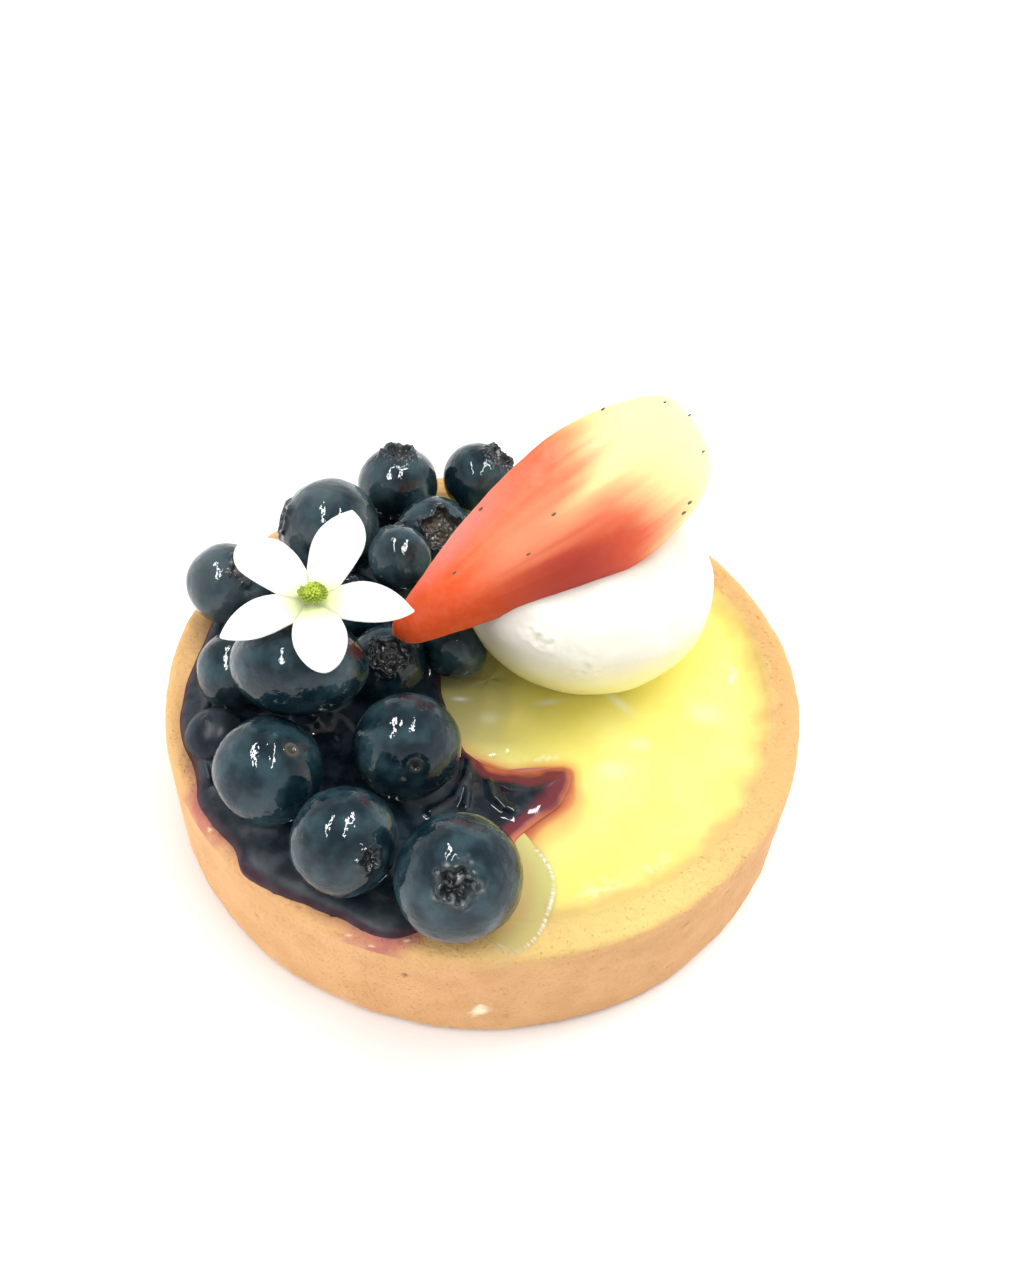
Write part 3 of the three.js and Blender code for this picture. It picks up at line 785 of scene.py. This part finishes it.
def jam_height(x, y, inside, on_lobe, coat):
    """Top of the jam: deep between the berries, which it climbs, and thin on the rim."""
    flat = np.stack([x, y, 0 * x], -1)
    rough = 0.5 * lumps(flat, 6) + 0.22 * lumps(flat, 2.5, 1)
    on_rim = smooth_step(RIM_INNER_RADIUS - 2, RIM_INNER_RADIUS + 1, np.hypot(x, y))
    low = RESTING_LEVEL - 0.25
    ground = low + (TART_HEIGHT + 0.1 - low) * on_rim
    deep = JAM_DEEP + (JAM_SHALLOW - JAM_DEEP) * smooth_step(-11, -2, x)
    deep = deep + (JAM_ON_RIM - deep) * on_rim
    body = 1 - np.exp(-inside / (0.7 + on_lobe))
    climb = np.exp(-np.clip(berry_drop(x, y, RESTING_LEVEL + 1.8), 0, 9) / 0.9)
    folds = sum(bell(line_distance(flat[..., :2], line), 0.5) for line in JAM_FOLDS)
    return ground + body * (deep * (1.05 + 0.2 * rough) + 1.7 * climb + 0.8 * folds + 2.4 * coat)


def make_jam(look):
    x, y = jam_places()
    flat = np.stack([x, y, 0 * x], -1)
    inside = line_distance(flat, [*flat[0], flat[0, 0]])
    on_lobe = smooth_step(-5, 1, x) * smooth_step(-8, -12, y)
    coat = bell(np.hypot(x - COATED_CENTRE[0], y - COATED_CENTRE[1]), 4.6)
    top = np.stack([x, y, jam_height(x, y, inside, on_lobe, coat)], -1)
    skirt = top[0] * (1, 1, 0) + (0, 0, JAM_BOTTOM)
    rings = np.concatenate([skirt[None], top])
    middle = (*JAM_CENTRE, RESTING_LEVEL + JAM_DEEP)
    points, faces = closed_grid(rings, (*JAM_CENTRE, JAM_BOTTOM), middle)
    # Red shows through at the lobe's margin, widest at its tip, and at the line of the rim
    ragged = 0.6 * lumps(flat, 4, 4) + 0.15 * lumps(flat, 1.2, 5)
    red_width = 3.3 + 1.6 * smooth_step(3, 9, x)
    margin = smooth_step(red_width, -0.3, inside + ragged) * on_lobe
    rim_line = 0.3 * smooth_step(1.9, 0.2, inside) * (1 - on_lobe)
    by_edge = smooth_step(6.5, 3, inside) * smooth_step(-2, -8, x) * smooth_step(-4, -10, y)
    at_edge = smooth_step(1.2, 0.2, inside)
    shares = {
        "thin": np.clip(margin + rim_line, 0, 1),
        "dull": np.clip(0.85 * np.maximum(by_edge, coat) + at_edge, 0, 1),
    }
    values = {name: [1, *share[0], *share.ravel(), 0] for name, share in shares.items()}
    add_piece("jam_pool", points, faces, look, "jam", "jam", attributes=values)


# Blueberries

# What only some berries have: on those farthest back a lighter skin, a painted reflection of the
# white surroundings; a dry floor in the calyx, a fainter scar of the stem, and crumbs of glaze on
# the crown
REFLECTED_GLOW = {"back_left": 0.5, "left_back": 0.45, "back": 0.15, "small_top": 0.12, "left": 0.15}
DRY_FLOOR = {"open": 0.5, "left_back": 0.5}
SCAR = {"centre_front": 0.4}
CRUMBS = {"front": 0.8}
# How dull the jam is on the berry that it coats
COATED_DULL = 0.75


def make_blueberry(index, row, look, slot):
    name, centre, radius, flatness, axis, crown, crown_share, pit = row
    # A unit ball with the calyx at its top, finest round the crown
    theta = np.concatenate([np.linspace(0.02, 0.7, 44), np.linspace(0.72, np.pi - 0.02, 56)])
    theta = theta[:, None]
    phi = circle_steps(100)
    share = np.sin(theta) + 0 * phi
    ball = np.stack([share * np.cos(phi), share * np.sin(phi), np.cos(theta) + 0 * phi], -1)
    seed = 3 + index
    uneven = lumps(ball * radius, 0.7 * radius, seed)
    ragged = lumps(ball, 0.09, seed)
    upper = (theta < np.pi / 2) + 0 * phi
    lower = 1 - upper
    # The crown is a ragged ridge with five lobes, round a pit
    lobe = np.cos(5 * phi + index)
    ring = crown_share * (1 + 0.15 * lobe + 0.1 * ragged)
    ridge = bell(share - ring, 0.075)
    inside = smooth_step(ring, ring - 0.16, share)
    height = ridge * (0.045 + (crown / radius) * (0.45 + 0.4 * lobe + 0.7 * ragged))
    floor = (0.035 * ragged - pit) * inside + 0.04 * bell(share, 0.07)
    # The stem has left a dimple at the other end
    dimple = 0.05 * bell(share, 0.16) - 0.035 * bell(share - 0.1, 0.03) + 0.03 * bell(share, 0.05)
    shape = ball * (1 + 0.018 * uneven)[..., None]
    shape[..., 2] += upper * (height + floor) + lower * dimple
    if name == "back_left":
        crease = bell(phi - 1.2 - 0.8 * (theta - 1.2), 0.12) * bell(theta - 1.3, 0.5)
        shape = shape * (1 - 0.07 * crease)[..., None]
    shape = shape * (radius, radius, radius * flatness)
    start = (0, 0, -radius * flatness * 0.97)
    end = (0, 0, float(shape[0, :, 2].mean()))
    points, faces = closed_grid(shape[::-1], start, end)
    turn = np.array(Vector((0, 0, 1)).rotation_difference(Vector(axis).normalized()).to_matrix())
    points = points @ turn.T + centre
    calyx = np.clip(0.85 * upper * (0.6 * ridge + inside), 0, 1)[::-1].ravel()
    scar = SCAR.get(name, 1) * lower * (bell(share - 0.1, 0.04) + 0.4 * bell(share, 0.05))
    scar = np.clip(scar + DRY_FLOOR.get(name, 0) * upper * inside, 0, 1)[::-1].ravel()
    crumbs = upper * smooth_step(0.15, 0.9, ragged) * (ridge + 0.5 * inside)
    crumbs = np.clip(CRUMBS.get(name, 0) * crumbs, 0, 1)[::-1].ravel()
    values = {
        "calyx": [0, *calyx, calyx[-1]], "scar": [scar[0], *scar, 0],
        "crumbs": [0, *crumbs, crumbs[-1]],
        "haze": REFLECTED_GLOW.get(name, 0) * smooth_step(-0.9, 0.5, lumps(points, 3, seed)),
        "dull": np.full(len(points), COATED_DULL),
    }
    node = "blueberry_" + name
    add_piece(node + "_skin", points, faces, look, slot, node, attributes=values)


# Cream, with the crease that the spoon left, and the middle of a rough patch beside it
CREASE = [(4.4, -4.6, 29.7), (5.4, -5, 29.5), (5.9, -5.7, 29.5), (7.2, -5.9, 29.4)]
ROUGH_PATCH = (10.9, -7.4, 27)


def cream_relief(points):
    """Soft lumps, the spoon's crease with its raised lip, and the pits of the rough patch."""
    push = 0.22 * lumps(points, 9) + 0.06 * lumps(points, 3, 1)
    apart = line_distance(points, CREASE) + 0.45 * lumps(points, 0.9, 2)
    push = push - 0.35 * bell(apart, 0.35) + 0.18 * bell(apart - 0.75, 0.35)
    patch = bell(np.linalg.norm((points - ROUGH_PATCH) * (1, 1, 0.8), axis=1), 2.2)
    push = push - 0.3 * patch * smooth_step(0.1, 0.7, lumps(points, 0.9, 3))
    return push * smooth_step(RESTING_LEVEL, RESTING_LEVEL + 2, points[:, 2])


def make_cream(look):
    lowest = -math.asin((CREAM_CENTRE[2] - RESTING_LEVEL) / CREAM_DEPTH_BELOW)
    below = np.linspace(lowest, 0, 110, endpoint=False)
    above = np.linspace(0, math.pi / 2 * 0.985, 60)
    radius = CREAM_RADIUS * np.concatenate([np.cos(below), np.cos(above) ** CREAM_TOP_FULLNESS])
    upper = CREAM_HEIGHT_ABOVE * np.sin(above) ** CREAM_TOP_FULLNESS
    height = np.concatenate([CREAM_DEPTH_BELOW * np.sin(below), upper])
    angle = circle_steps(360)
    r = radius[:, None]
    rings = np.stack([r * np.cos(angle), r * np.sin(angle), height[:, None] + 0 * angle], -1)
    start = (0, 0, RESTING_LEVEL - CREAM_CENTRE[2])
    points, faces = closed_grid(rings, start, (0, 0, CREAM_HEIGHT_ABOVE))
    points = points + CREAM_CENTRE
    points = push_out(points, faces, cream_relief(points))
    points[:, 2] -= 0.4 * smooth_step(RESTING_LEVEL + 1, RESTING_LEVEL, points[:, 2])
    # Painted light: the lower part is yellower, as if lit from the custard below
    low = 0.9 * smooth_step(2, -7, points[:, 2] - CREAM_CENTRE[2])
    add_piece("cream_ball", points, faces, look, "cream", "cream", attributes={"low": low})


# Strawberry wedge

# Seeds on the skin: part of the way along, degrees round
SEEDS = [
    (0.479, -11.8), (0.378, 0.4), (0.207, -22), (0.746, -47), (0.912, -40), (0.965, -25),
    (0.932, 11), (0.824, 33.6), (0.797, 37), (0.348, -44),
]
SEED_LENGTH = 0.33
SEED_WIDTH = 0.13
SEED_HEIGHT = 0.14
SEED_DEPTH = 0.08


def strawberry_frame():
    """Directions along the wedge, out of the middle of its skin and across, and its length."""
    along = STRAWBERRY_SHOULDER - STRAWBERRY_TIP
    length = np.linalg.norm(along)
    along = along / length
    facing = STRAWBERRY_FACING - along * (STRAWBERRY_FACING @ along)
    facing = facing / np.linalg.norm(facing)
    return along, facing, np.cross(along, facing), length


def strawberry_skin(share):
    """Part of the way along the core line and radius of the skin, at a share of the profile."""
    distance, radius = catmull_rom(STRAWBERRY_PROFILE, share)
    return distance / STRAWBERRY_PROFILE[-1][0], radius


def skin_radius(part):
    """Radius of the skin at a part of the way along the core line."""
    steps = [strawberry_skin(k / 200) for k in range(201)]
    return np.interp(part, [place for place, _ in steps], [radius for _, radius in steps])


def strawberry_place(part, angle, radius):
    """A point at a part of the way along the core line, at an angle in degrees and a radius."""
    along, facing, across, length = strawberry_frame()
    core = STRAWBERRY_TIP + along * part * length - across * STRAWBERRY_BEND * 4 * part * (1 - part)
    turn = math.radians(angle)
    out = facing * math.cos(turn) + across * math.sin(turn)
    return core + out * radius, out


def strawberry_rings():
    """Rings of the wedge, and for each point its part, degrees, whether cut, and share of radius."""
    half = math.degrees(STRAWBERRY_HALF_ANGLE)
    sections = 200
    arc = np.linspace(-half, half, 81)
    cuts = np.linspace(0, 1, 14, endpoint=False)[1:]
    # A ring goes from the core out along a cut face, round the skin and back along the other
    angles = [0, *[-half] * len(cuts), *arc, *[half] * len(cuts)]
    depths = [0, *cuts, *[1] * len(arc), *cuts[::-1]]
    flesh = [1] * (len(cuts) + 1) + [0] * len(arc) + [1] * len(cuts)
    rings, marks = [], []
    for i in range(1, sections):
        part, radius = strawberry_skin(i / sections)
        round_it = zip(angles, depths)
        rings.append([strawberry_place(part, a, radius * d)[0] for a, d in round_it])
        marks += [(part, *mark) for mark in zip(angles, flesh, depths)]
    return np.array(rings), np.array([(0, 0, 0, 1), *marks, (1, 0, 0, 1)]).T


def strawberry_colours(part, angle, flesh, depth):
    """How much of each colour every point has."""
    # Streaks run lengthwise and blur the borders between the colours
    grain = np.column_stack([part * 5, angle * 0.22, 0 * part])
    streak = lumps(grain, 1, 1) + 0.5 * lumps(grain * (1, 2.5, 1), 1, 2)
    border = part + 0.02 * streak
    pale = smooth_step(0.53, 0.79, border - 0.003 * np.clip(angle + 15, 0, 70))
    ray = bell(angle + 13 + 40 * (part - 0.6), 6) * smooth_step(0.42, 0.62, border)
    far_edge = smooth_step(30, 48, angle) * smooth_step(0.6, 0.75, border)
    # Salmon: painted light along the middle of the skin, which faces the light, and the fruit's own
    # paler colour toward the shoulder
    salmon = bell(angle + 9 + 2.5 * streak, 19) * smooth_step(0.16, 0.36, border)
    salmon = np.clip(salmon + 0.75 * smooth_step(0.6, 0.75, border), 0, 1)
    # Deep: painted shade, a darker red on the lower side where the skin turns away from the light
    deep_width = np.where(part < 0.46, 0.26, 0.18)
    deep = smooth_step(-4, 24, angle + 3 * streak) * bell(part - 0.46, deep_width)
    # The cut faces are paler toward the core, with veins that run out to the skin
    veins = lumps(np.column_stack([part * 34, depth * 2.5, np.sign(angle)]), 1, 5)
    core = flesh * np.clip(0.85 * smooth_step(0.95, 0.15, depth) + 0.3 * veins, 0, 1)
    return {
        "pale": np.clip(pale + 0.6 * ray + 0.5 * far_edge, 0, 1),
        "salmon": 0.92 * salmon, "deep": 0.95 * deep, "flesh": 0.85 * flesh, "core": core,
        "pink": 0.8 * smooth_step(-22, -42, angle) * bell(part - 0.28, 0.17),
    }


def make_strawberry(look):
    rings, marks = strawberry_rings()
    points, faces = closed_grid(rings, STRAWBERRY_TIP, STRAWBERRY_SHOULDER)
    flesh = marks[2]
    push = 0.12 * lumps(points, 6, 3) * (1 - flesh) + 0.03 * lumps(points, 1.6, 4)
    for place, turn in SEEDS:
        spot, _ = strawberry_place(place, turn, skin_radius(place))
        push = push - 0.12 * bell(np.linalg.norm(points - spot, axis=1), 0.5)
    points = push_out(points, faces, push)
    values = strawberry_colours(*marks)
    node = "strawberry"
    add_piece("strawberry_wedge", points, faces, look, node, node, attributes=values)


def seed_skin(place, degrees):
    """A small flat drop that lies in the skin."""
    along, _, _, _ = strawberry_frame()
    spot, out = strawberry_place(place, degrees, skin_radius(place) - SEED_DEPTH)
    side = np.cross(along, out)
    theta = np.linspace(0.15, math.pi - 0.15, 9)[:, None]
    phi = circle_steps(14)
    long = SEED_LENGTH * (np.cos(theta) + 0 * phi)
    wide = SEED_WIDTH * np.sin(theta) * np.cos(phi) * (1 - 0.35 * np.cos(theta))
    tall = SEED_HEIGHT * np.sin(theta) * np.sin(phi)
    rings = spot + long[..., None] * along + wide[..., None] * side + tall[..., None] * out
    tip = (SEED_LENGTH + 0.01) * along
    return closed_grid(rings, spot + tip, spot - tip)


def make_seeds(look):
    points, faces = joined([seed_skin(*row) for row in SEEDS])
    add_piece("strawberry_seeds", points, faces, look, "strawberry")


# Flower


def petal_rings(length, width, tip_rise, widest_power, tip_power):
    """Rings of an arched petal that points along +X, thin at its sides and tip."""
    steps = 40
    side = np.linspace(-1, 1, 17)
    rows = []
    for i in range(steps + 1):
        share = math.sin(math.pi / 2 * i / steps)
        foot = PETAL_FOOT_SHARE * (1 - share)
        oval = max(math.sin(math.pi * share**widest_power), 0) ** tip_power
        half = 0.5 * width * (foot + (1 - foot) * oval) + PETAL_TIP_WIDTH
        arch = PETAL_ARCH * math.sin(math.pi * share) * (0.4 + 0.6 * side**2)
        z = tip_rise * share**2 + arch
        thick = PETAL_THICKNESS * (1 - 0.75 * np.abs(side) ** 4) * (1 - 0.6 * share**6)
        low = np.stack([length * share + 0 * side, half * side, z], -1)
        rows.append(np.vstack([low, (low + thick[:, None] * (0, 0, 1))[::-1]]))
    return np.array(rows)


def petal_skin(degrees, *shape):
    """One petal in its place, with how near each point is to the flower's heart and to a vein."""
    rings = petal_rings(*shape)
    points, faces = closed_grid(rings, rings[0].mean(0), rings[-1].mean(0))
    x, y, z = points.T
    heart = smooth_step(5.5, 1.2, x)
    vein = 0.5 + 0.5 * np.cos(14 * y / (0.5 * shape[1]))
    z = z + 0.1 * lumps(points, 3, degrees)
    turn = math.radians(degrees)
    east = x * math.cos(turn) - y * math.sin(turn)
    north = x * math.sin(turn) + y * math.cos(turn)
    return np.stack([east, north, z], -1) + FLOWER_CENTRE, faces, heart, vein


def make_petals(look):
    petals = [petal_skin(*row) for row in PETALS]
    points, faces = joined([petal[:2] for petal in petals])
    values = {
        "heart": np.concatenate([petal[2] for petal in petals]),
        "vein": np.concatenate([petal[3] for petal in petals]),
    }
    add_piece("petals", points, faces, look, "petal", "flower_petals", attributes=values)


# Stalks of the flower's middle, the turn from each to the next, and the lean of the outermost
STALKS = 90
STALK_TURN = 2.39996
STALK_LEAN = 1.15
# Sections of a stalk: part of the way along and radius
STALK_SECTIONS = [(0.2, 0.16), (0.6, 0.17), (0.85, 0.2), (0.97, 0.15)]


def stalk_skin(index):
    """One blunt stalk, and how light its points are."""
    share = math.sqrt((index + 0.5) / STALKS)
    turn = index * STALK_TURN
    lean = share * STALK_LEAN
    level = math.sin(lean)
    out = np.array((level * math.cos(turn), level * math.sin(turn), math.cos(lean)))
    side = np.cross(out, (0.3, 0.2, 0.9))
    side = side / np.linalg.norm(side)
    other = np.cross(out, side)
    base = FLOWER_CENTRE + (0, 0, FLOWER_EYE_BASE - 0.3)
    reach = 1 + 0.12 * math.sin(index * 7.7)
    tip = out * reach * (FLOWER_EYE_RADIUS, FLOWER_EYE_RADIUS, FLOWER_EYE_HEIGHT + 0.3)
    phi = circle_steps(8)
    circle = np.cos(phi)[:, None] * side + np.sin(phi)[:, None] * other
    rings = np.array([base + tip * far + thick * circle for far, thick in STALK_SECTIONS])
    points, faces = closed_grid(rings, base + tip * 0.15, base + tip)
    light = 0.35 + 0.65 * (share < 0.55)
    return points, faces, [0, *np.repeat((0, 0.15, 0.7 * light, light), len(phi)), light]


def make_eye(look):
    """A dome of small blunt stalks that lean outward."""
    stalks = [stalk_skin(index) for index in range(STALKS)]
    points, faces = joined([stalk[:2] for stalk in stalks])
    values = {"tip": np.concatenate([stalk[2] for stalk in stalks])}
    node = "flower_eye"
    add_piece("flower_centre", points, faces, look, node, node, attributes=values)


# Stage


def make_floor():
    side = 3000
    level = -0.05
    corners = [(x * side, y * side, level) for x, y in ((-1, -1), (1, -1), (1, 1), (-1, 1))]
    mesh = bpy.data.meshes.new("floor")
    mesh.from_pydata((np.array(corners) * MM).tolist(), [], [(0, 1, 2, 3)])
    mesh.materials.append(floor_look())
    add_object("floor", mesh)


def make_camera():
    """The camera that was solved from the photo: its lens, its three axes and its place."""
    lens = bpy.data.cameras.new("camera")
    lens.lens = 35.16
    lens.sensor_width = 36
    lens.clip_start = 0.01
    camera = add_object("camera", lens)
    right = (0.99844501, 0.03056205, 0.0466211)
    up = (-0.05414591, 0.73059126, 0.68066484)
    back = (-0.01325846, -0.68213076, 0.73111001)
    turned = Matrix((right, up, back)).transposed().to_4x4()
    camera.matrix_world = Matrix.Translation((0, -0.105199, 0.136181)) @ turned
    bpy.context.scene.camera = camera


def add_light(name, place, width, depth, watts, colour=(1, 1, 1), glossy=True, diffuse=True):
    """A soft rectangular lamp that faces the tart, its depth running from front to back."""
    light = bpy.data.lights.new(name, "AREA")
    light.shape = "RECTANGLE"
    light.size = width
    light.size_y = depth
    light.energy = watts
    light.color = colour
    lamp = add_object(name, light)
    away = Vector(place).normalized()
    across = Vector((0, 1, 0)).cross(away).normalized()
    lamp.matrix_world = Matrix((across, away.cross(across), away)).transposed().to_4x4()
    lamp.location = place
    lamp.visible_glossy = glossy
    lamp.visible_diffuse = diffuse


def make_world():
    """A white tent that is dimmer overhead."""
    world = bpy.data.worlds.new("studio")
    world.use_nodes = True
    background = world.node_tree.nodes["Background"]
    background.inputs["Color"].default_value = (1, 1, 1, 1)
    way = add_node(world, "TexCoord").outputs["Generated"]
    height = add_node(world, "SeparateXYZ", Vector=way).outputs["Z"]
    limits = {"From_Min": 0.05, "From_Max": 0.7, "To_Min": 1.3, "To_Max": 0.5}
    level = add_node(world, "MapRange", Value=height, **limits)
    plug(world, background.inputs["Strength"], level.outputs["Result"])
    bpy.context.scene.world = world


def make_lights():
    """Two strips that only make highlights, and three soft lamps that make none."""
    add_light("strip_left", (-0.42, -0.12, 1.2), 0.1, 1.0, 11, diffuse=False)
    add_light("strip_right", (0.3, -0.12, 1.2), 0.1, 1.0, 11, diffuse=False)
    add_light("overhead", (0.1, 0.1, 1.6), 1.2, 1.2, 14, glossy=False)
    add_light("key", (1.0, 0.7, 1.0), 0.9, 0.9, 13, (1, 0.98, 0.94), glossy=False)
    add_light("fill", (-1.4, -0.3, 0.6), 1.0, 1.0, 12, glossy=False)


def set_view():
    """Plain colours, with no tone curve."""
    view = bpy.context.scene.view_settings
    view.view_transform = "Standard"
    view.look = "None"
    view.exposure = 0


make_camera()
make_floor()
make_world()
make_lights()
set_view()
make_crust(crust_look())
custard = custard_look()
make_custard(custard)
make_glaze_pool(custard)
jam = jam_look()
make_jam(jam)
blueberry = blueberry_look()
for number, berry in enumerate(BLUEBERRIES):
    coated = berry[0] == COATED
    make_blueberry(number, berry, jam if coated else blueberry, "jam" if coated else "blueberry")
make_cream(cream_look())
make_strawberry(strawberry_look())
make_seeds(seed_look())
make_petals(petal_look())
make_eye(eye_look())
